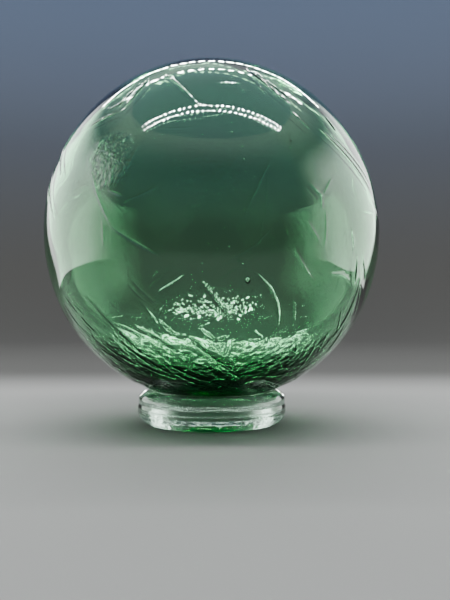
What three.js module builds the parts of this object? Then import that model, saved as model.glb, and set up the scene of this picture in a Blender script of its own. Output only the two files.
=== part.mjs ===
// A green glass float on a clear glass ring stand.
//
// Millimetres, +Z up. The origin is the middle of the ring's underside, on the
// surface that the ring stands on. The front of the float faces -Y.
//
// glass_float  one blown and sealed glass body, with cooling wrinkles raised in
//              its skin and the lump of glass that seals it underneath
// ring_stand   a low pressed glass ring, which the float only rests in

import * as THREE from "three";
import { mergeVertices } from "three/addons/utils/BufferGeometryUtils.js";

const GAP = 0.3; // left between the float and the ring

// The float
const FLOAT_WIDTH = 127; // a five inch float, across its middle
const FLOAT_TALLNESS = 1.026; // its long way over its width
const FLOAT_LEAN = 6; // degrees, the top of its long way leans towards -X

// Where the blown shape isn't quite even: a place on the float, how many
// degrees it spreads, and how far it stands out.
const UNEVEN = [
  { azimuth: 90, elevation: 32, spread: 22, out: -0.5 },
  { azimuth: -90, elevation: 26, spread: 15, out: -0.35 },
  { azimuth: -90, elevation: -22, spread: 18, out: 0.35 },
  { azimuth: 90, elevation: -26, spread: 15, out: 0.3 },
  { azimuth: 0, elevation: -90, spread: 26, out: -1.0 },
];

// The seal, a button of glass pressed on where the pipe was broken off
const SEAL_WIDTH = 21;
const SEAL_HEIGHT = 1.8;
const SEAL_SHOULDER = 2.6; // over which it falls to the skin round it

// The wrinkles: each starts at a place on the float, runs off at a heading
// (clockwise from straight up) for a length in mm, and bends on its way.
const WRINKLES = [
  { azimuth: -37, elevation: 37, heading: 20, length: 18, bend: -30 },
  { azimuth: -27, elevation: 56, heading: 135, length: 26, bend: 0 },
  { azimuth: 22, elevation: 58, heading: 175, length: 22, bend: -40 },
  { azimuth: 43, elevation: 30, heading: 132, length: 30, bend: -15 },
  { azimuth: -32, elevation: 0, heading: 124, length: 21, bend: -8 },
  { azimuth: 36, elevation: 14, heading: 178, length: 22, bend: 15 },
  { azimuth: 12, elevation: -14, heading: 122, length: 24, bend: 60 },
  { azimuth: -47, elevation: -22, heading: 138, length: 30, bend: 25 },
  { azimuth: -8, elevation: -35, heading: 146, length: 22, bend: -8 },
  { azimuth: 58, elevation: -16, heading: 172, length: 30, bend: 30 },
  // round the back
  { azimuth: 150, elevation: 34, heading: 138, length: 34, bend: 12 },
  { azimuth: 108, elevation: 4, heading: 150, length: 30, bend: -20 },
  { azimuth: 172, elevation: -30, heading: 140, length: 26, bend: 0 },
  { azimuth: -112, elevation: -4, heading: 146, length: 34, bend: -14 },
];
const WRINKLE_HEIGHT = 0.55; // of its sharp edge
const WRINKLE_EDGE = 1.0; // over which the sharp side drops
const WRINKLE_BACK = 2.8; // over which the soft side fades
const WRINKLE_STEP = 1.5; // between the points that follow its line

// How long a face's edges may be, on plain skin, by a wrinkle and by the seal
const PLAIN_FACE = 9;
const WRINKLE_FACE = 2.3;
const SEAL_FACE = 1.2;
const FINE_REACH = 1.2; // either side of a wrinkle's line or the seal's shoulder

// The ring, as it is turned: distances from its axis and heights
const RING_WIDTH = 57.3;
const RING_BORE = 40;
const FOOT_INSIDE = 42.4; // of the flat underside
const FOOT_OUTSIDE = 50.6;
const RING_STEPS = 64; // round the ring

const LOWER_ROLL = { r: RING_WIDTH / 2 - 4.4, z: 5.2, across: 4.4, up: 5.0 };
const UPPER_ROLL = { r: RING_WIDTH / 2 - 5.6, z: 8.7, across: 5.2, up: 3.4 };
const SEAT = { r: RING_BORE / 2 + 2.4, z: 10.1, across: 2.4, up: 2.0 };
const BORE_EDGE = { r: FOOT_INSIDE / 2, z: 1.2, across: 1.2, up: 1.2 };

const radians = THREE.MathUtils.degToRad;

// A unit vector out of the float. Azimuth 0 is its front, 90 its +X side.
function direction(azimuth, elevation) {
  const turn = radians(azimuth);
  const rise = radians(elevation);
  return new THREE.Vector3(
    Math.sin(turn) * Math.cos(rise),
    -Math.cos(turn) * Math.cos(rise),
    Math.sin(rise),
  );
}

// The line of a wrinkle as points on a unit ball, each with the way it runs.
function wrinkleLine({ azimuth, elevation, heading, length, bend }) {
  const place = direction(azimuth, elevation);
  const east = new THREE.Vector3(0, 0, 1).cross(place).normalize();
  const along = place.clone().cross(east).applyAxisAngle(place, -radians(heading));
  const steps = Math.ceil(length / WRINKLE_STEP);
  const stride = length / steps / (FLOAT_WIDTH / 2);
  const line = [];
  for (let step = 0; step <= steps; step++) {
    line.push({ place: place.clone(), along: along.clone(), part: step / steps });
    const side = place.clone().cross(along);
    place.applyAxisAngle(side, stride);
    along.applyAxisAngle(side, stride).applyAxisAngle(place, -radians(bend) / steps);
  }
  return line;
}

const wrinkleLines = WRINKLES.map(wrinkleLine);

// The point of a wrinkle's line that is nearest to a place on the unit ball.
function nearest(line, place) {
  return line.reduce((best, point) =>
    point.place.distanceToSquared(place) < best.place.distanceToSquared(place)
      ? point
      : best,
  );
}

// Each wrinkle is a lap in the skin: sharp on one side, fading on the other,
// and running out to nothing at its ends.
function wrinkleOut(place) {
  let out = 0;
  for (const line of wrinkleLines) {
    const point = nearest(line, place);
    const apart = place.clone().sub(point.place).multiplyScalar(FLOAT_WIDTH / 2);
    if (apart.length() > 4 * WRINKLE_BACK) continue;
    const across = apart.dot(point.place.clone().cross(point.along));
    const beyond = apart.dot(point.along);
    const fall =
      across > 0 ? Math.exp(-across / WRINKLE_BACK) : Math.exp(-((across / WRINKLE_EDGE) ** 2));
    const end = Math.sqrt(Math.sin(Math.PI * point.part)) * Math.exp(-((beyond / 2) ** 2));
    out += WRINKLE_HEIGHT * fall * end;
  }
  return out;
}

// How far a place is from the seal's shoulder, going round the float.
function fromSeal(place) {
  return place.angleTo(new THREE.Vector3(0, 0, -1)) * (FLOAT_WIDTH / 2) - SEAL_WIDTH / 2;
}

function sealOut(place) {
  return SEAL_HEIGHT * (1 - THREE.MathUtils.smoothstep(fromSeal(place), -SEAL_SHOULDER, 0));
}

function unevenOut(place) {
  return UNEVEN.reduce((out, lobe) => {
    const away = place.angleTo(direction(lobe.azimuth, lobe.elevation));
    return out + lobe.out * Math.exp(-((away / radians(lobe.spread)) ** 2));
  }, 0);
}

const longWay = direction(-90, 90 - FLOAT_LEAN);

// The plain blown skin: a leaning, slightly long ball that isn't quite even.
function skin(place) {
  const wide = FLOAT_WIDTH / 2;
  const along = place.dot(longWay);
  const across = 1 - along * along;
  const round = wide / Math.sqrt(across + (along / FLOAT_TALLNESS) ** 2);
  return round + unevenOut(place) + sealOut(place);
}

// Splits each edge that is too long for what is round it. Both faces of an
// edge split it alike, so the skin stays closed. Gives the new faces.
function refine(places, faces) {
  const middles = new Map();
  const middle = (a, b) => {
    const key = Math.min(a, b) * 1e6 + Math.max(a, b);
    if (!middles.has(key)) {
      const halfway = places[a].clone().add(places[b]).normalize();
      const length = places[a].distanceTo(places[b]) * (FLOAT_WIDTH / 2);
      middles.set(key, length > longestEdge(halfway, length) ? places.push(halfway) - 1 : -1);
    }
    return middles.get(key);
  };
  const finer = [];
  for (let [a, b, c] of faces) {
    // turned so that, where one or two edges split, ab does and ca does not
    for (let turn = 0; turn < 3 && !(middle(a, b) >= 0 && middle(c, a) < 0); turn++) {
      [a, b, c] = [b, c, a];
    }
    const [ab, bc, ca] = [middle(a, b), middle(b, c), middle(c, a)];
    if (ab < 0) finer.push([a, b, c]);
    else if (ca >= 0) finer.push([a, ab, ca], [ab, b, bc], [ca, bc, c], [ab, bc, ca]);
    else if (bc >= 0) finer.push([ab, b, bc], [a, ab, bc], [a, bc, c]);
    else finer.push([a, ab, c], [ab, b, c]);
  }
  return finer;
}

// An edge may reach a fine place with its ends, so its own length counts.
function longestEdge(place, length) {
  const reach = FINE_REACH + length / 2;
  const nearWrinkle = wrinkleLines.some(
    (line) => nearest(line, place).place.distanceTo(place) * (FLOAT_WIDTH / 2) < reach,
  );
  const nearSeal = Math.abs(fromSeal(place) + SEAL_SHOULDER / 2) < reach;
  if (nearSeal) return SEAL_FACE;
  return nearWrinkle ? WRINKLE_FACE : PLAIN_FACE;
}

function floatGeometry() {
  const ball = new THREE.IcosahedronGeometry(1, 8);
  ball.deleteAttribute("normal");
  ball.deleteAttribute("uv");
  const { index, attributes } = mergeVertices(ball, 1e-5);
  const places = [];
  for (let n = 0; n < attributes.position.count; n++) {
    places.push(new THREE.Vector3().fromBufferAttribute(attributes.position, n).normalize());
  }
  let faces = [];
  for (let n = 0; n < index.count; n += 3) {
    faces.push([index.getX(n), index.getX(n + 1), index.getX(n + 2)]);
  }
  for (let before = 0; before < faces.length; ) {
    before = faces.length;
    faces = refine(places, faces);
  }
  const points = places.map((place) =>
    place.clone().multiplyScalar(skin(place) + wrinkleOut(place)),
  );
  const geometry = new THREE.BufferGeometry().setFromPoints(points);
  geometry.setIndex(faces.flat());
  geometry.computeBoundingBox();
  const middle = geometry.boundingBox.getCenter(new THREE.Vector3());
  geometry.translate(-middle.x, -middle.y, floatHeight());
  geometry.computeVertexNormals();
  return geometry;
}

// The height of an ellipse's upper half at a distance from the ring's axis.
function topOf(ellipse, distance) {
  const part = (distance - ellipse.r) / ellipse.across;
  return part * part > 1 ? -Infinity : ellipse.z + ellipse.up * Math.sqrt(1 - part * part);
}

function ringTop(distance) {
  if (distance > SEAT.r && distance < UPPER_ROLL.r) return UPPER_ROLL.z + UPPER_ROLL.up;
  return topOf(distance < SEAT.r ? SEAT : UPPER_ROLL, distance);
}

// How high the float's middle is when its underside is GAP above the ring.
function floatHeight() {
  let height = 0;
  for (let turn = 0; turn < 360; turn += 5) {
    for (let tilt = 10; tilt < 30; tilt += 0.25) {
      const place = direction(turn, tilt - 90);
      const under = place.clone().multiplyScalar(skin(place));
      height = Math.max(height, ringTop(Math.hypot(under.x, under.y)) + GAP - under.z);
    }
  }
  return height;
}

// Points along part of an ellipse, as distances from the axis and heights.
function arc({ r, z, across, up }, from, to, steps) {
  return Array.from({ length: steps + 1 }, (_, step) => {
    const angle = radians(from + ((to - from) * step) / steps);
    return new THREE.Vector2(r + across * Math.cos(angle), z + up * Math.sin(angle));
  });
}

// Two soft rolls outside with a shallow waist between them, a rounded seat
// that the float rests on, a plain bore, and a flat foot.
function ringGeometry() {
  const profile = [
    new THREE.Vector2(FOOT_OUTSIDE / 2, 0),
    ...arc(LOWER_ROLL, -62, 26, 6),
    ...arc(UPPER_ROLL, -20, 90, 7),
    ...arc(SEAT, 90, 180, 4),
    ...arc(BORE_EDGE, 180, 270, 2),
  ];
  profile.push(profile[0].clone());
  const turned = new THREE.LatheGeometry(profile, RING_STEPS);
  turned.deleteAttribute("normal");
  turned.deleteAttribute("uv");
  const geometry = mergeVertices(turned, 1e-3);
  geometry.rotateX(Math.PI / 2);
  geometry.computeVertexNormals();
  return geometry;
}

const greenGlass = new THREE.MeshStandardMaterial({
  color: 0x2f8a52,
  roughness: 0.03,
  metalness: 0,
  transparent: true,
  opacity: 0.5,
});

const clearGlass = new THREE.MeshStandardMaterial({
  color: 0xe6ece8,
  roughness: 0.04,
  metalness: 0,
  transparent: true,
  opacity: 0.35,
});

const float = new THREE.Mesh(floatGeometry(), greenGlass);
float.name = "glass_float";

const ring = new THREE.Mesh(ringGeometry(), clearGlass);
ring.name = "ring_stand";

const ornament = new THREE.Group();
ornament.add(ring, float);

export default ornament;
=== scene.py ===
import math
import random

import bpy
import numpy as np
from mathutils import Matrix, Quaternion, Vector
from mathutils.kdtree import KDTree


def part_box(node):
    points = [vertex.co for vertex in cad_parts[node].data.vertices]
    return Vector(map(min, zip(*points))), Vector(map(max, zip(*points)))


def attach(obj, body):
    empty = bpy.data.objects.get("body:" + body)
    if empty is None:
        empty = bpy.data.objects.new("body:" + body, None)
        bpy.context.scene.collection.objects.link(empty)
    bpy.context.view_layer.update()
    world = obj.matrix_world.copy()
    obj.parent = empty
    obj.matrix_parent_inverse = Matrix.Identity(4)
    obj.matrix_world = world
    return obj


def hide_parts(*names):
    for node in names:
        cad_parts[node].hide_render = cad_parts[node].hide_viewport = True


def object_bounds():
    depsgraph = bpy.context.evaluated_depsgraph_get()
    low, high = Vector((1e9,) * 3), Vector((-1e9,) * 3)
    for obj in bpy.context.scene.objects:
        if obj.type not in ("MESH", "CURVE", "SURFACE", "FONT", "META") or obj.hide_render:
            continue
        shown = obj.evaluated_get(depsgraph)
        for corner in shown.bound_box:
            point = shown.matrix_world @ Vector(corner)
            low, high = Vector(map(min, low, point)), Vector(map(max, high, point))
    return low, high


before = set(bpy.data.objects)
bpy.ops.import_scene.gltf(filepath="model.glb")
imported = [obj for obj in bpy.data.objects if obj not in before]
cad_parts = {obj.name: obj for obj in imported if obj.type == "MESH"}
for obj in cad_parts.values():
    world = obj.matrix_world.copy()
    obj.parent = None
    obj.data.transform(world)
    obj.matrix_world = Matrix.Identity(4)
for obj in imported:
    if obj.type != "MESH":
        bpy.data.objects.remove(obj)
cad_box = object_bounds()

# ---------------------------------------------------------------- the float's skin
# A float is a bubble of green bottle glass, blown at the pipe, broken off and
# sealed with a button of hot glass underneath. It is a little longer than it is
# wide, it leans in its ring, and its shoulders are a touch flat.

FLOAT_WIDTH = 0.127
FLOAT_TALLNESS = 1.026
FLOAT_LEAN = 6  # degrees, the top leans to the left
BALL = FLOAT_WIDTH / 2

# where the blown shape isn't even: azimuth, elevation, spread in degrees, metres out
UNEVEN = [
    (90, 32, 22, -0.0005),
    (-90, 26, 15, -0.00035),
    (-90, -22, 18, 0.00035),
    (90, -26, 15, 0.0003),
    (0, -90, 26, -0.001),
]

SEAL_WIDTH = 0.021
SEAL_HEIGHT = 0.0018
SEAL_SHOULDER = 0.0026


def direction(azimuth, elevation):
    """A unit vector out of the float. Azimuth 0 is its front, 90 its right."""
    turn, rise = math.radians(azimuth), math.radians(elevation)
    return Vector((
        math.sin(turn) * math.cos(rise),
        -math.cos(turn) * math.cos(rise),
        math.sin(rise),
    ))


def smooth(value, start, end):
    """0 before start, 1 after end, and an even S between."""
    part = np.clip((value - start) / (end - start), 0, 1)
    return part * part * (3 - 2 * part)


def from_seal(places):
    """How far unit vectors are from the seal's shoulder, round the float."""
    return np.arccos(np.clip(-places[:, 2], -1, 1)) * BALL - SEAL_WIDTH / 2


def skin(places):
    """How far the plain blown skin stands from the middle at unit vectors."""
    long_way = np.array(direction(-90, 90 - FLOAT_LEAN))
    along = places @ long_way
    out = BALL / np.sqrt(1 - along**2 + (along / FLOAT_TALLNESS) ** 2)
    for azimuth, elevation, spread, lobe in UNEVEN:
        away = np.degrees(np.arccos(np.clip(places @ np.array(direction(azimuth, elevation)), -1, 1)))
        out += lobe * np.exp(-((away / spread) ** 2))
    return out + SEAL_HEIGHT * (1 - smooth(from_seal(places), -SEAL_SHOULDER, 0))


# ---------------------------------------------------------------- the wrinkles
# Where the skin chilled against the marver and was blown on, it folded. Each
# wrinkle is a lap: sharp on one side, fading on the other, and a tenth to a
# quarter of a millimetre high. They wind down the float from left to right.

# azimuth, elevation, heading (clockwise from up), length in mm, bend, height in mm
FRONT_WRINKLES = [
    (-52, 33, 66, 15, 0, 0.17),
    (-46, 39, 76, 9, -30, 0.12),
    (-37, 37, 20, 18, -30, 0.22),
    (-40, 40, 10, 15, 12, 0.15),
    (-27, 56, 135, 26, -10, 0.22),
    (1, 48, 82, 9, 0, 0.12),
    (12, 47, 155, 5, 10, 0.11),
    (22, 48, 176, 5, 0, 0.09),
    (22, 60, 175, 24, -40, 0.22),
    (25, 58, 170, 18, -32, 0.15),
    (31, 37, 143, 9, 0, 0.2),
    (51, 37, 165, 6, 0, 0.17),
    (42, 31, 132, 32, -15, 0.24),
    (47, 30, 130, 26, -10, 0.18),
    (-31, 24, 10, 5, 80, 0.14),
    (-24, 24, 195, 9, 8, 0.12),
    (-41, 17, 155, 22, -12, 0.2),
    (-34, 0, 180, 7, 0, 0.14),
    (-53, 10, 118, 11, -60, 0.14),
    (-33, 10, 108, 7, 6, 0.17),
    (-32, 0, 124, 21, -8, 0.22),
    (40, 14, 215, 7, 10, 0.2),
    (31, 12, 128, 7, 6, 0.17),
    (35, 9, 184, 5, 0, 0.18),
    (36, 4, 172, 12, 20, 0.14),
    (29, 1, 142, 9, 0, 0.15),
    (56, 5, 88, 10, 0, 0.14),
    (25, -7, 148, 15, -14, 0.18),
    (40, -15, 82, 12, 44, 0.21),
    (12, -14, 122, 24, 60, 0.18),
    (7, -11, 116, 4, 0, 0.12),
    (27, -22, 164, 15, 0, 0.17),
    (35, -38, 160, 8, 0, 0.14),
    (51, -35, 202, 6, 0, 0.18),
    (15, -33, 134, 5, 0, 0.14),
    (-16, -14, 228, 4, 0, 0.12),
    (-8, -15, 232, 11, 10, 0.14),
    (-18, -29, 150, 9, -14, 0.2),
    (-3, -17, 149, 16, -8, 0.24),
    (-4, -32, 136, 8, 0, 0.17),
    (1, -37, 60, 5, 10, 0.14),
    (-8, -35, 147, 22, -8, 0.21),
    (-47, -22, 138, 30, 25, 0.2),
    (-38, -31, 102, 12, 42, 0.15),
    (-25, -17, 139, 10, 0, 0.14),
    (-27, -18, 139, 8, 0, 0.11),
    (-20, -47, 136, 13, 0, 0.17),
    (-30, -45, 142, 11, 0, 0.18),
]
# the long ones at its right edge and round the back
REAR_WRINKLES = [
    (58, -16, 172, 30, 30, 0.2),
    (150, 34, 138, 34, 12, 0.2),
    (108, 4, 150, 30, -20, 0.2),
    (172, -30, 140, 26, 0, 0.2),
    (-112, -4, 146, 34, -14, 0.2),
]
HAIR = 0.00028  # across the crest of a wrinkle
FADE = 0.0010  # over which its soft side fades
LAP = 0.3  # the soft side's share of its height
STRIDE = 0.0008  # between the points that follow its line
TALLER = 1.15  # times the heights listed
LOW_LEFT, RIGHT_EDGE, SCATTERED = 16, 9, 62  # how many are left to chance, and where


def wrinkle_line(azimuth, elevation, heading, length, bend):
    """Points on a unit ball along a wrinkle, the way it runs at each, and how far along each is."""
    place = direction(azimuth, elevation)
    east = Vector((0, 0, 1)).cross(place).normalized()
    along = place.cross(east)
    along.rotate(Quaternion(place, -math.radians(heading)))
    steps = max(3, round(length / STRIDE))
    points, ways = [], []
    for _ in range(steps + 1):
        points.append(place.copy())
        ways.append(along.copy())
        step = Quaternion(place.cross(along), length / steps / BALL)
        place.rotate(step)
        along.rotate(step)
        along.rotate(Quaternion(place, -math.radians(bend) / steps))
    return np.array(points), np.array(ways), np.linspace(0, 1, steps + 1)


def scattered_wrinkles(count, chance):
    """Wrinkles for the rest of the skin, winding the same way as those in front."""
    lines = []
    while len(lines) < count:
        azimuth = chance.uniform(-180, 180)
        elevation = math.degrees(math.asin(chance.uniform(-0.93, 0.95)))
        heading = chance.gauss(142, 15)
        length = min(chance.lognormvariate(2.9, 0.5), 52)
        bend = chance.gauss(-4, 16)
        height = chance.uniform(0.08, 0.2)
        in_front = abs(azimuth) < 62 and elevation > -42
        if in_front:
            continue
        lines.append((azimuth, elevation, heading, length, bend, height))
        if chance.random() < 0.3:
            turn = chance.choice((-70, 75))
            lines.append((azimuth, elevation, heading + turn, length * 0.3, 0, height * 0.8))
    return lines


def wrinkles_low_in_front(chance):
    """The finer wrinkles that crowd the float's lower left and follow its right edge."""
    lines = []
    for _ in range(LOW_LEFT):
        azimuth, elevation = chance.uniform(-66, -22), chance.uniform(-50, -22)
        heading, length, height = chance.gauss(141, 5), chance.uniform(6, 20), chance.uniform(0.1, 0.2)
        lines.append((azimuth, elevation, heading, length, 0, height))
    for _ in range(RIGHT_EDGE):
        azimuth, elevation = chance.uniform(46, 66), chance.uniform(-46, 6)
        heading, length, height = chance.gauss(160, 10), chance.uniform(6, 16), chance.uniform(0.1, 0.2)
        lines.append((azimuth, elevation, heading, length, 0, height))
    return lines


chance = random.Random(31)
wrinkles = [
    (*wrinkle_line(azimuth, elevation, heading, length / 1000, bend), TALLER * height / 1000)
    for azimuth, elevation, heading, length, bend, height in [
        *FRONT_WRINKLES,
        *wrinkles_low_in_front(chance),
        *REAR_WRINKLES,
        *scattered_wrinkles(SCATTERED, chance),
    ]
]


def wrinkle_out(places):
    """How far the wrinkles raise the skin at unit vectors."""
    out = np.zeros(len(places))
    for points, ways, parts, height in wrinkles:
        middle = points[len(points) // 2]
        reach = np.linalg.norm(points - middle, axis=1).max() + 4 * FADE / BALL
        near = np.flatnonzero(np.linalg.norm(places - middle, axis=1) < reach)
        if not len(near):
            continue
        closest = np.argmax(places[near] @ points.T, axis=1)
        apart = (places[near] - points[closest]) * BALL
        sides = np.cross(points, ways)[closest]
        across = np.einsum("ij,ij->i", apart, sides)
        beyond = np.einsum("ij,ij->i", apart, ways[closest])
        past = np.maximum(np.abs(beyond) - STRIDE / 2, 0)
        sharp = np.exp(-((across / HAIR) ** 2))
        soft = np.exp(-np.maximum(across, 0) / FADE)
        lap = np.where(across > 0, LAP * soft + (1 - LAP) * sharp, sharp)
        ends = np.sqrt(np.sin(np.pi * np.clip(parts[closest], 0.001, 0.999)))
        out[near] += height * lap * ends * np.exp(-((past / HAIR) ** 2))
    return out


# ---------------------------------------------------------------- the float's outer mesh
# The skin starts as an even ball of small faces, which is cut finer along the
# wrinkles and round the rippled bottom, and is then pushed out to the shape.

RIPPLES_FROM = -29  # elevation at which the chilled ripples of the bottom begin
RIPPLES_FULL = -48
BAND_MIDDLE, BAND_REACH = -0.675, 0.205  # the finely cut band, as heights on a unit ball
EVEN_CUTS = 6

# where the skin crumpled behind: azimuth, elevation and how far it spreads in each
CRUMPLE_AZIMUTH, CRUMPLE_ELEVATION = 180, -28
CRUMPLE_WIDE, CRUMPLE_TALL = 25, 6

bpy.ops.object.select_all(action="DESELECT")
bpy.ops.mesh.primitive_ico_sphere_add(subdivisions=EVEN_CUTS, radius=1)
glass_float = bpy.context.object
glass_float.name = "float_glass"


def tree_of(lines):
    """A tree of the points along wrinkles, to look up the closest."""
    points = [point for line, *_ in lines for point in line]
    tree = KDTree(len(points))
    for number, point in enumerate(points):
        tree.insert(point, number)
    tree.balance()
    return tree


all_lines = tree_of(wrinkles)
front_lines = tree_of(wrinkles[:len(FRONT_WRINKLES) + LOW_LEFT + RIGHT_EDGE])


def places_of(piece):
    """A piece's vertices as an array of positions."""
    flat = np.empty(len(piece.data.vertices) * 3)
    piece.data.vertices.foreach_get("co", flat)
    return flat.reshape(-1, 3)


def put(piece, places):
    """Moves a piece's vertices to these positions."""
    piece.data.vertices.foreach_set("co", places.ravel())
    piece.data.update()


def cut_long_edges(piece, longest, near):
    """Halves each edge longer than longest wherever near is true of its middle."""
    ends = np.empty(len(piece.data.edges) * 2, dtype=int)
    piece.data.edges.foreach_get("vertices", ends)
    places = places_of(piece)[ends.reshape(-1, 2)]
    lengths = np.linalg.norm(places[:, 0] - places[:, 1], axis=1) * BALL
    middles = places.mean(axis=1)
    middles /= np.linalg.norm(middles, axis=1)[:, None]
    chosen = lengths > longest
    chosen[chosen] = near(middles[chosen], lengths[chosen])
    bpy.ops.object.mode_set(mode="EDIT")
    bpy.ops.mesh.select_mode(type="EDGE")
    bpy.ops.mesh.select_all(action="DESELECT")
    bpy.ops.object.mode_set(mode="OBJECT")
    piece.data.edges.foreach_set("select", chosen)
    bpy.ops.object.mode_set(mode="EDIT")
    bpy.ops.mesh.subdivide(number_cuts=1)
    bpy.ops.mesh.select_all(action="SELECT")
    bpy.ops.mesh.quads_convert_to_tris(quad_method="SHORTEST_DIAGONAL", ngon_method="BEAUTY")
    bpy.ops.object.mode_set(mode="OBJECT")
    places = places_of(piece)
    put(piece, places / np.linalg.norm(places, axis=1)[:, None])


def by_a_wrinkle(tree, margin):
    """A test for cut_long_edges: does an edge come within margin of a wrinkle in the tree?"""
    def near(middles, lengths):
        gaps = np.array([tree.find(middle)[2] for middle in middles]) * BALL
        return gaps < margin + lengths / 2
    return near


def crumpled(places):
    """1 in the patch behind where the skin crumpled, fading to 0 round it."""
    azimuths = np.degrees(np.arctan2(places[:, 0], -places[:, 1])) % 360
    elevations = np.degrees(np.arcsin(np.clip(places[:, 2], -1, 1)))
    ragged = 3 * np.sin(azimuths * 1.1) + 2 * np.sin(azimuths * 2.7)
    off = np.hypot(
        (azimuths - CRUMPLE_AZIMUTH) / CRUMPLE_WIDE,
        (elevations - CRUMPLE_ELEVATION - 0.4 * ragged) / CRUMPLE_TALL,
    )
    return 1 - smooth(off, 0.6, 1.1)


def in_the_ripples(middles, lengths):
    """A test for cut_long_edges: is an edge in the rippled band or the crumpled patch?"""
    return (np.abs(middles[:, 2] - BAND_MIDDLE) < BAND_REACH) | (crumpled(middles) > 0.1)


# each pass halves what is longer than its first number, in metres, near its place
cut_long_edges(glass_float, 0.0015, by_a_wrinkle(all_lines, 0.0008))
cut_long_edges(glass_float, 0.0015, in_the_ripples)
cut_long_edges(glass_float, 0.0009, by_a_wrinkle(all_lines, 0.0004))
cut_long_edges(glass_float, 0.0009, in_the_ripples)
cut_long_edges(glass_float, 0.00045, by_a_wrinkle(all_lines, 0.00015))
cut_long_edges(glass_float, 0.00025, by_a_wrinkle(front_lines, 0.0001))

# where both faces of an edge fold flat onto it, one sliver is left over
bpy.ops.object.mode_set(mode="EDIT")
bpy.ops.mesh.select_mode(type="VERT")
bpy.ops.mesh.select_all(action="DESELECT")
bpy.ops.mesh.select_non_manifold(
    use_wire=False, use_multi_face=False, use_non_contiguous=False, use_verts=False,
)
bpy.ops.mesh.select_mode(type="FACE")
bpy.ops.mesh.delete(type="FACE")
bpy.ops.object.mode_set(mode="OBJECT")

unit = places_of(glass_float)
put(glass_float, unit * (skin(unit) + wrinkle_out(unit))[:, None])

# the float sits where its solid does
float_low, float_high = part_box("glass_float")
places = places_of(glass_float)
middle = (places.min(axis=0) + places.max(axis=0)) / 2
float_middle = Vector((
    (float_low.x + float_high.x) / 2 - middle[0],
    (float_low.y + float_high.y) / 2 - middle[1],
    float_high.z - places[:, 2].max(),
))
put(glass_float, places + np.array(float_middle))

weights = smooth(-unit[:, 2], math.sin(math.radians(-RIPPLES_FROM)), math.sin(math.radians(-RIPPLES_FULL)))
weights *= smooth(from_seal(unit), -0.002, 0.004)
for group_name, shares in (("ripples", weights), ("crumple", crumpled(unit))):
    group = glass_float.vertex_groups.new(name=group_name)
    for number in np.flatnonzero(shares > 0.01):
        group.add([int(number)], float(shares[number]), "REPLACE")

for texture_name, group_name, size, strength in (
    ("chill", "ripples", 0.0036, 0.00028),
    ("fine_chill", "ripples", 0.0013, 0.00026),
    ("crumples", "crumple", 0.0015, 0.0007),
):
    texture = bpy.data.textures.new(texture_name, "CLOUDS")
    texture.noise_scale = size
    texture.noise_depth = 1
    texture.noise_type = "SOFT_NOISE"
    displace = glass_float.modifiers.new(texture_name, "DISPLACE")
    displace.texture = texture
    displace.texture_coords = "LOCAL"
    displace.vertex_group = group_name
    displace.strength = strength
    displace.mid_level = 0.5
    bpy.ops.object.modifier_apply(modifier=texture_name)

# ---------------------------------------------------------------- the float's cavity
# The breath inside. The wall is a little under three millimetres of glass, and
# more than twice as thick round the seal, where the hot glass sagged.

WALL = 0.0026
SAGGED = 0.0042  # more glass at the bottom
SAG_SPREAD = 34

bpy.ops.object.select_all(action="DESELECT")
bpy.ops.mesh.primitive_ico_sphere_add(subdivisions=5, radius=1)
cavity = bpy.context.object
unit = places_of(cavity)
down = np.degrees(np.arccos(np.clip(-unit[:, 2], -1, 1)))
wall = WALL + SAGGED * np.exp(-((down / SAG_SPREAD) ** 2))
without_seal = skin(unit) - SEAL_HEIGHT * (1 - smooth(from_seal(unit), -SEAL_SHOULDER, 0))
put(cavity, unit * (without_seal - wall)[:, None] + np.array(float_middle))
swell = bpy.data.textures.new("swell", "CLOUDS")
swell.noise_scale = 0.022
displace = cavity.modifiers.new("swell", "DISPLACE")
displace.texture = swell
displace.texture_coords = "LOCAL"
displace.strength = 0.0009
bpy.ops.object.modifier_apply(modifier="swell")
bpy.ops.object.mode_set(mode="EDIT")
bpy.ops.mesh.select_all(action="SELECT")
bpy.ops.mesh.flip_normals()
bpy.ops.object.mode_set(mode="OBJECT")

# ---------------------------------------------------------------- the seeds
# Seeds are the small bubbles of air that the melt left in the wall, pressed
# flat and drawn out as the float was blown.

SEEDS = [(11, -17, 0.9), (-49, 14, 0.5), (10, 19, 0.35), (20, 33, 0.3), (-35, -12, 0.3), (31, -3, 0.3)]
for _ in range(30):
    azimuth, rise, radius = chance.uniform(-180, 180), chance.uniform(-0.8, 0.9), chance.uniform(0.15, 0.45)
    SEEDS.append((azimuth, math.degrees(math.asin(rise)), radius))
seeds = []
for azimuth, elevation, radius in SEEDS:
    out = direction(azimuth, elevation)
    bpy.ops.mesh.primitive_ico_sphere_add(subdivisions=3 if radius > 0.6 else 2, radius=radius / 1000)
    seed = bpy.context.object
    depth = float(skin(np.array([out]))[0]) - WALL / 2
    turned = out.to_track_quat("Z", "Y").to_matrix().to_4x4()
    flat = Matrix.Diagonal((1.0, 1.35, 0.75, 1.0))
    seed.data.transform(Matrix.Translation(float_middle + out * depth) @ turned @ flat)
    bpy.ops.object.mode_set(mode="EDIT")
    bpy.ops.mesh.select_all(action="SELECT")
    bpy.ops.mesh.flip_normals()
    bpy.ops.object.mode_set(mode="OBJECT")
    seeds.append(seed)

bpy.ops.object.select_all(action="DESELECT")
for piece in (*seeds, cavity, glass_float):
    piece.select_set(True)
bpy.context.view_layer.objects.active = glass_float
bpy.ops.object.join()
bpy.ops.object.shade_smooth()
glass_float.vertex_groups.clear()

# ---------------------------------------------------------------- green bottle glass
# Iron and chrome in the sand make it green. It is clear soda-lime glass, fire
# polished, so the colour comes only from the depth of glass that light crosses:
# pale through the wall, deep along the edge and round the seal.

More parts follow.
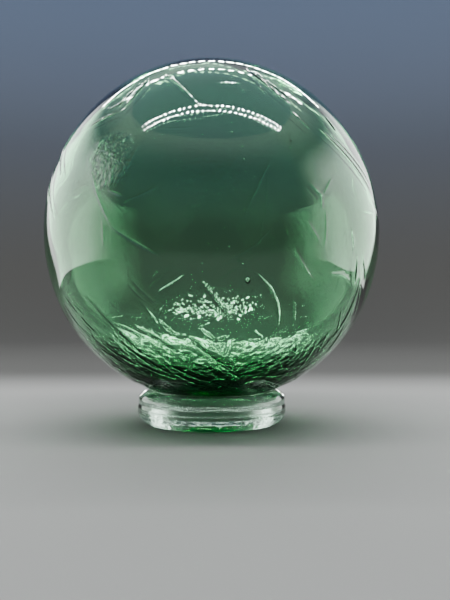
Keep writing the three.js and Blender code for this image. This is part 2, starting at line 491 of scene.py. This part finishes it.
SWELLS_APART = 0.011  # metres between the slow swells of a blown wall
SHIVERS_APART = 0.0017  # between the fine shivers of chilled glass
CHILL_TOP = 0.0285  # height of the chill's upper edge at the middle

# azimuth, elevation, width, height and strength of each shivered patch: the
# crumple behind, a faint one above it, and the marks of a paddle at the left
PATCHES = [
    (CRUMPLE_AZIMUTH, CRUMPLE_ELEVATION, 0.044, 0.013, 1.0),
    (180, 24, 0.042, 0.027, 1.2),
    (-35, 20, 0.022, 0.026, 2.2),
]


def linear(hex_colour):
    """An sRGB hex colour as linear red, green, blue and 1."""
    parts = [int(hex_colour[n:n + 2], 16) / 255 for n in (1, 3, 5)]
    return (*(p / 12.92 if p <= 0.04045 else ((p + 0.055) / 1.055) ** 2.4 for p in parts), 1.0)


def new_material(name):
    """An empty material that is built from nodes."""
    material = bpy.data.materials.new(name)
    material.use_nodes = True
    material.node_tree.nodes.clear()
    return material


def add_node(material, kind, inputs=None, **settings):
    """Adds a node with its settings. An input is given a value, or the socket that feeds it."""
    tree = material.node_tree
    added = tree.nodes.new(kind)
    for name, value in settings.items():
        setattr(added, name, value)
    for name, value in (inputs or {}).items():
        if isinstance(value, bpy.types.NodeSocket):
            tree.links.new(value, added.inputs[name])
        else:
            added.inputs[name].default_value = value
    return added


green_glass = new_material("green_bottle_glass")
place = add_node(green_glass, "ShaderNodeTexCoord").outputs["Object"]
swells = add_node(
    green_glass, "ShaderNodeTexNoise",
    {"Vector": place, "Scale": 1 / SWELLS_APART, "Detail": 2.0, "Roughness": 0.45},
)
swelling = add_node(
    green_glass, "ShaderNodeBump",
    {"Height": swells.outputs["Fac"], "Strength": 0.12, "Distance": 0.0004},
)

# the chill's edge dips in the middle of the front and hangs lower behind
axes = add_node(green_glass, "ShaderNodeSeparateXYZ", {"Vector": place}).outputs
aside = add_node(green_glass, "ShaderNodeMath", {0: axes["X"]}, operation="ABSOLUTE").outputs[0]
dipped = add_node(
    green_glass, "ShaderNodeMath", {0: aside, 1: -0.2, 2: axes["Z"]}, operation="MULTIPLY_ADD",
).outputs[0]
height = add_node(
    green_glass, "ShaderNodeMath", {0: axes["Y"], 1: 0.05, 2: dipped}, operation="MULTIPLY_ADD",
).outputs[0]
chilled = add_node(
    green_glass, "ShaderNodeMapRange",
    {"Value": height, "From Min": CHILL_TOP, "From Max": CHILL_TOP - 0.004},
    interpolation_type="SMOOTHSTEP",
).outputs["Result"]

for azimuth, elevation, width, tallness, strength in PATCHES:
    patch_middle = float_middle + direction(azimuth, elevation) * BALL
    stretch = Vector((1, 1, width / tallness))
    apart = add_node(
        green_glass, "ShaderNodeVectorMath",
        {0: place, 1: stretch, 2: -patch_middle * stretch},
        operation="MULTIPLY_ADD",
    ).outputs["Vector"]
    gap = add_node(
        green_glass, "ShaderNodeVectorMath", {0: apart}, operation="LENGTH",
    ).outputs["Value"]
    patch = add_node(
        green_glass, "ShaderNodeMapRange",
        {"Value": gap, "From Min": width / 2, "From Max": width / 3, "To Max": strength},
        interpolation_type="SMOOTHSTEP",
    ).outputs["Result"]
    chilled = add_node(
        green_glass, "ShaderNodeMath", {0: chilled, 1: patch}, operation="MAXIMUM",
    ).outputs[0]

shivers = add_node(
    green_glass, "ShaderNodeTexNoise",
    {"Vector": place, "Scale": 1 / SHIVERS_APART, "Detail": 1.0, "Roughness": 0.5},
)
shivering = add_node(
    green_glass, "ShaderNodeMath", {0: shivers.outputs["Fac"], 1: chilled}, operation="MULTIPLY",
)
skin_marks = add_node(
    green_glass, "ShaderNodeBump",
    {
        "Height": shivering.outputs[0],
        "Strength": 1.0,
        "Distance": 0.00013,
        "Normal": swelling.outputs["Normal"],
    },
)
glass = add_node(
    green_glass, "ShaderNodeBsdfPrincipled",
    {
        "Base Color": linear("#f4fbf6"),
        "Roughness": 0.0,
        "IOR": 1.52,
        "Transmission Weight": 1.0,
        "Normal": skin_marks.outputs["Normal"],
    },
)
depth = add_node(
    green_glass, "ShaderNodeVolumeAbsorption",
    {"Color": linear("#00d47c"), "Density": 170.0},
)
add_node(
    green_glass, "ShaderNodeOutputMaterial",
    {"Surface": glass.outputs["BSDF"], "Volume": depth.outputs["Volume"]},
)

glass_float.data.materials.clear()
glass_float.data.materials.append(green_glass)
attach(glass_float, "root")
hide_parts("glass_float")

# ---------------------------------------------------------------- the ring stand
# A low ring of clear glass, pressed in a mould: two soft rolls outside with a
# waist between them, a rounded seat for the float, a plain bore, a flat foot.

RING = round(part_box("ring_stand")[1].x, 5)
BORE = 0.020
FOOT_INSIDE, FOOT_OUTSIDE = 0.0212, 0.0253
RING_STEPS, SECTION_STEPS = 168, 132
MOULD_RING, MOULD_PITCH = 0.00005, 0.0019  # depth and spacing of the mould's fine rings

# the section's rolls as parts of ellipses: middle out, middle up, across, up, from, to
SECTION = [
    (RING - 0.0044, 0.0052, 0.0044, 0.0050, -62, 26),
    (RING - 0.0056, 0.0087, 0.0052, 0.0034, -20, 90),
    (BORE + 0.0024, 0.0101, 0.0024, 0.0020, 90, 180),
    (FOOT_INSIDE, 0.0012, 0.0012, 0.0012, 180, 270),
]


def section_points():
    """The ring's closed section, from its foot up the outside and down the bore."""
    points = [(FOOT_OUTSIDE, 0.0)]
    for r, z, across, up, start, end in SECTION:
        for angle in np.radians(np.linspace(start, end, 40)):
            points.append((r + across * math.cos(angle), z + up * math.sin(angle)))
    points.append(points[0])
    return np.array(points)


outline = section_points()
steps = np.linalg.norm(np.diff(outline, axis=0), axis=1)
lengths = np.concatenate([[0], np.cumsum(steps)])
widest = lengths[np.argmax(outline[:, 0])] / lengths[-1]

# a torus is pulled into that section
TORUS, TUBE = 0.024, 0.004
bpy.ops.object.select_all(action="DESELECT")
bpy.ops.mesh.primitive_torus_add(
    major_segments=RING_STEPS, minor_segments=SECTION_STEPS, major_radius=TORUS, minor_radius=TUBE,
)
ring = bpy.context.object
ring.name = "ring_glass"
places = places_of(ring)
turn = np.arctan2(places[:, 1], places[:, 0])
round_section = np.arctan2(places[:, 2], np.hypot(places[:, 0], places[:, 1]) - TORUS)
along = (round_section / (2 * np.pi) + widest) % 1.0 * lengths[-1]
out = np.interp(along, lengths, outline[:, 0])
up = np.interp(along, lengths, outline[:, 1])
outside = smooth(out, BORE + 0.004, BORE + 0.006) * smooth(up, 0.0006, 0.0016)
out -= MOULD_RING * outside * (1 - np.cos(2 * np.pi * along / MOULD_PITCH))
put(ring, np.column_stack([out * np.cos(turn), out * np.sin(turn), up]))
bpy.ops.object.shade_smooth()

# Clear pressed glass, with the faint green of plain sand. The mould was colder
# than the glass, so its skin is uneven: broad marks all over, dimples in the
# lower roll, and a frosted bore and seat where the plunger drew out.
MARKS_APART = 0.00625
DIMPLES_APART = 0.0024
FROST_APART = 0.0004
DIMPLES_TOP, FROST_FROM = 0.0034, 0.0050  # heights

clear_glass = new_material("clear_pressed_glass")
place = add_node(clear_glass, "ShaderNodeTexCoord").outputs["Object"]
marks = add_node(
    clear_glass, "ShaderNodeTexNoise",
    {"Vector": place, "Scale": 1 / MARKS_APART, "Detail": 2.0, "Roughness": 0.5},
)
marked = add_node(
    clear_glass, "ShaderNodeBump",
    {"Height": marks.outputs["Fac"], "Strength": 0.5, "Distance": 0.0004},
)

height = add_node(clear_glass, "ShaderNodeSeparateXYZ", {"Vector": place}).outputs["Z"]
in_lower_roll = add_node(
    clear_glass, "ShaderNodeMapRange",
    {"Value": height, "From Min": FROST_FROM, "From Max": DIMPLES_TOP},
).outputs["Result"]
dimples = add_node(
    clear_glass, "ShaderNodeTexNoise",
    {"Vector": place, "Scale": 1 / DIMPLES_APART, "Detail": 1.0, "Roughness": 0.5},
)
dimpling = add_node(
    clear_glass, "ShaderNodeMath", {0: dimples.outputs["Fac"], 1: in_lower_roll}, operation="MULTIPLY",
)
dimpled = add_node(
    clear_glass, "ShaderNodeBump",
    {
        "Height": dimpling.outputs[0],
        "Strength": 1.0,
        "Distance": 0.0003,
        "Normal": marked.outputs["Normal"],
    },
)

level = add_node(
    clear_glass, "ShaderNodeVectorMath", {0: place, 1: (1, 1, 0)}, operation="MULTIPLY",
).outputs["Vector"]
radius = add_node(clear_glass, "ShaderNodeVectorMath", {0: level}, operation="LENGTH").outputs["Value"]
in_bore = add_node(
    clear_glass, "ShaderNodeMapRange",
    {"Value": radius, "From Min": BORE + 0.0052, "From Max": BORE + 0.0040},
).outputs["Result"]
frosted_part = add_node(
    clear_glass, "ShaderNodeMapRange",
    {"Value": height, "From Min": DIMPLES_TOP, "From Max": FROST_FROM, "To Max": in_bore},
).outputs["Result"]
frost = add_node(
    clear_glass, "ShaderNodeTexNoise",
    {"Vector": place, "Scale": 1 / FROST_APART, "Detail": 2.0, "Roughness": 0.5},
)
frosting = add_node(
    clear_glass, "ShaderNodeMath", {0: frost.outputs["Fac"], 1: frosted_part}, operation="MULTIPLY",
)
mould_skin = add_node(
    clear_glass, "ShaderNodeBump",
    {
        "Height": frosting.outputs[0],
        "Strength": 1.0,
        "Distance": 0.00015,
        "Normal": dimpled.outputs["Normal"],
    },
)
glass = add_node(
    clear_glass, "ShaderNodeBsdfPrincipled",
    {
        "Base Color": linear("#fcfefd"),
        "Roughness": 0.02,
        "IOR": 1.5,
        "Transmission Weight": 1.0,
        "Normal": mould_skin.outputs["Normal"],
    },
)
depth = add_node(
    clear_glass, "ShaderNodeVolumeAbsorption",
    {"Color": linear("#b4dfc6"), "Density": 38.0},
)
add_node(
    clear_glass, "ShaderNodeOutputMaterial",
    {"Surface": glass.outputs["BSDF"], "Volume": depth.outputs["Volume"]},
)
ring.data.materials.clear()
ring.data.materials.append(clear_glass)
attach(ring, "root")
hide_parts("ring_stand")

# ---------------------------------------------------------------- the studio's sweep
# A light tent of pale card: a round floor that sweeps up into a wall all round.
# The wall glows softly at both sides and overhead, and carries a grey cloth
# before and behind, where it turns blue towards the top.

SWEEP_FLAT, SWEEP_RADIUS, SWEEP_WALL = 0.45, 0.20, 0.8
SWEEP_STEPS, WALL_STEPS = 12, 8
FLOOR_GAP = 0.0001  # a breath of air under the ring's foot
SIDE_GLOW, CEILING_GLOW = 2.8, 0.8

bpy.ops.object.select_all(action="DESELECT")
bpy.ops.mesh.primitive_circle_add(vertices=128, radius=SWEEP_FLAT, fill_type="TRIFAN")
sweep = bpy.context.object
sweep.name = "sweep"
sweep.location.z = -FLOOR_GAP
bpy.ops.object.mode_set(mode="EDIT")
bpy.ops.mesh.select_mode(type="EDGE")
bpy.ops.mesh.select_all(action="SELECT")
bpy.ops.mesh.region_to_loop()
for step in range(SWEEP_STEPS):
    start, end = (math.radians(90 * n / SWEEP_STEPS) for n in (step, step + 1))
    before = SWEEP_FLAT + SWEEP_RADIUS * math.sin(start)
    after = SWEEP_FLAT + SWEEP_RADIUS * math.sin(end)
    rise = SWEEP_RADIUS * (math.cos(start) - math.cos(end))
    bpy.ops.mesh.extrude_edges_move(TRANSFORM_OT_translate={"value": (0, 0, rise)})
    bpy.ops.transform.resize(value=(after / before, after / before, 1))
for _ in range(WALL_STEPS):
    bpy.ops.mesh.extrude_edges_move(TRANSFORM_OT_translate={"value": (0, 0, SWEEP_WALL / WALL_STEPS)})
bpy.ops.object.mode_set(mode="OBJECT")
bpy.ops.object.shade_smooth()

card = new_material("pale_card")
place = add_node(card, "ShaderNodeTexCoord").outputs["Object"]
axes = add_node(card, "ShaderNodeSeparateXYZ", {"Vector": place}).outputs

# pale floor under the float, cloth before and behind it
shifted = add_node(card, "ShaderNodeMath", {0: axes["Y"], 1: 0.07}, operation="ADD").outputs[0]
off_floor = add_node(card, "ShaderNodeMath", {0: shifted}, operation="ABSOLUTE").outputs[0]
floor_ends = add_node(
    card, "ShaderNodeMapRange",
    {"Value": off_floor, "From Min": 0.15, "From Max": 0.27},
    interpolation_type="SMOOTHSTEP",
).outputs["Result"]
cloth_rises = add_node(
    card, "ShaderNodeMapRange",
    {"Value": axes["Z"], "From Min": 0.05, "From Max": 0.45},
    interpolation_type="SMOOTHSTEP",
).outputs["Result"]
cloth = add_node(
    card, "ShaderNodeMix",
    {"Factor": cloth_rises, "A": linear("#383735"), "B": linear("#566176")},
    data_type="RGBA",
)
shade = add_node(
    card, "ShaderNodeMix",
    {"Factor": floor_ends, "A": linear("#727270"), "B": cloth.outputs["Result"]},
    data_type="RGBA",
)

# the side glow: from a little in front of each side, back to an edge that leans
# rearwards as it rises, out on the floor, and fading upwards
aside = add_node(card, "ShaderNodeMath", {0: axes["X"]}, operation="ABSOLUTE").outputs[0]
from_back = add_node(
    card, "ShaderNodeMath", {0: aside, 1: axes["Y"]}, operation="ARCTAN2",
).outputs[0]
lean = add_node(card, "ShaderNodeMath", {0: axes["Z"], 1: 0.22}, operation="MINIMUM").outputs[0]
back_edge = add_node(
    card, "ShaderNodeMath", {0: lean, 1: 1.7, 2: from_back}, operation="MULTIPLY_ADD",
).outputs[0]
level = add_node(
    card, "ShaderNodeVectorMath", {0: place, 1: (1, 1, 0)}, operation="MULTIPLY",
).outputs["Vector"]
radius = add_node(card, "ShaderNodeVectorMath", {0: level}, operation="LENGTH").outputs["Value"]
glow = SIDE_GLOW
for value, dark, lit in (
    (from_back, math.radians(120), math.radians(90)),
    (back_edge, math.radians(48), math.radians(54)),
    (radius, 0.300, 0.306),
    (axes["Z"], 0.66, 0.34),
):
    glow = add_node(
        card, "ShaderNodeMapRange",
        {"Value": value, "From Min": dark, "From Max": lit, "To Max": glow},
        interpolation_type="SMOOTHSTEP",
    ).outputs["Result"]
ceiling = add_node(
    card, "ShaderNodeMapRange",
    {"Value": axes["Z"], "From Min": 0.45, "From Max": 0.95, "To Max": CEILING_GLOW},
    interpolation_type="SMOOTHSTEP",
).outputs["Result"]
glow = add_node(card, "ShaderNodeMath", {0: glow, 1: ceiling}, operation="MAXIMUM").outputs[0]
matte = add_node(
    card, "ShaderNodeBsdfPrincipled",
    {
        "Base Color": shade.outputs["Result"],
        "Roughness": 0.8,
        "Emission Color": linear("#fbfffb"),
        "Emission Strength": glow,
    },
)
add_node(card, "ShaderNodeOutputMaterial", {"Surface": matte.outputs["BSDF"]})
sweep.data.materials.append(card)

# ---------------------------------------------------------------- the studio's lamps
# Strips of small lamps hang across the tent, two in front and two behind. A low
# row hides behind the float, where it lights the thick glass of the bottom, and
# a few more stand behind the crumpled patch. All of them are plain white.

STRIP_WIDTH = 0.68
# name, distance back, height, how many lamps, their size, their radiance
STRIPS = [
    ("front", -0.108, 0.57, 31, 0.0085, 300),
    ("second", -0.145, 0.57, 30, 0.0085, 300),
    ("middle", 0.28, 0.57, 23, 0.015, 110),
    ("back", 0.46, 0.49, 31, 0.013, 110),
]
# the low row bows upwards at its ends, and the other row steps up and down
LOW_LAMPS, LOW_WIDTH, LOW_BACK, LOW_UP, LOW_BOW = 16, 0.104, 0.11, 0.0016, 0.010
LOW_SIZE, LOW_RADIANCE = 0.0029, 8
SPARKLE_LAMPS, SPARKLE_WIDTH, SPARKLE_BACK, SPARKLE_UP, SPARKLE_STEP = 9, 0.044, 0.16, 0.030, 0.003
SPARKLE_SIZE, SPARKLE_RADIANCE = 0.0025, 9
BEAM = math.radians(50)


def lamp(name, place, aim, size, radiance):
    """A small square lamp. The camera doesn't see it, but the glass does."""
    bpy.ops.object.light_add(type="AREA", location=place)
    added = bpy.context.object
    added.name = name
    added.data.size = size
    added.data.energy = radiance * math.pi * size**2
    added.rotation_euler = (Vector(aim) - Vector(place)).to_track_quat("-Z", "Y").to_euler()
    added.visible_camera = False
    return added.data


middle = (0, 0, (cad_box[0].z + cad_box[1].z) / 2)
for name, back, height, lamps, size, radiance in STRIPS:
    for number in range(lamps):
        across = (number / (lamps - 1) - 0.5) * STRIP_WIDTH
        lamp(f"{name}_lamp_{number}", (across, back, height), middle, size, radiance)

for number in range(LOW_LAMPS):
    share = number / (LOW_LAMPS - 1) * 2 - 1
    place = (share * LOW_WIDTH / 2, LOW_BACK, LOW_UP + LOW_BOW * share**2)
    low = lamp(f"low_lamp_{number}", place, (0, 0, 0.03), LOW_SIZE, LOW_RADIANCE)
    low.spread = BEAM

for number in range(SPARKLE_LAMPS):
    across = (number / (SPARKLE_LAMPS - 1) - 0.5) * SPARKLE_WIDTH
    place = (across, SPARKLE_BACK, SPARKLE_UP + SPARKLE_STEP * math.cos(number * math.pi))
    sparkle = lamp(f"sparkle_lamp_{number}", place, (0, 0, 0.04), SPARKLE_SIZE, SPARKLE_RADIANCE)
    sparkle.spread = BEAM

world = bpy.data.worlds.new("studio")
world.use_nodes = True
world.node_tree.nodes["Background"].inputs["Color"].default_value = linear("#d8e6f8")
world.node_tree.nodes["Background"].inputs["Strength"].default_value = 0.8
bpy.context.scene.world = world

# ---------------------------------------------------------------- the camera
# It stands low in front, just above the ring, and looks almost level.

CAMERA_AWAY = 5.47 * BALL
CAMERA_HEIGHT = 0.0546
AIM_RIGHT, AIM_DOWN = 0.84, 1.27  # degrees

bpy.ops.object.camera_add()
camera = bpy.context.object
camera.data.lens = 54
camera.data.sensor_width = 36
camera.data.clip_start = 0.01
rise = (float_low.z + float_high.z) / 2 - CAMERA_HEIGHT
camera.location = (0, -math.sqrt(CAMERA_AWAY**2 - rise**2), CAMERA_HEIGHT)
camera.rotation_euler = (math.radians(90 - AIM_DOWN), 0, -math.radians(AIM_RIGHT))
bpy.context.scene.camera = camera
bpy.context.scene.view_settings.look = "AgX - Medium High Contrast"
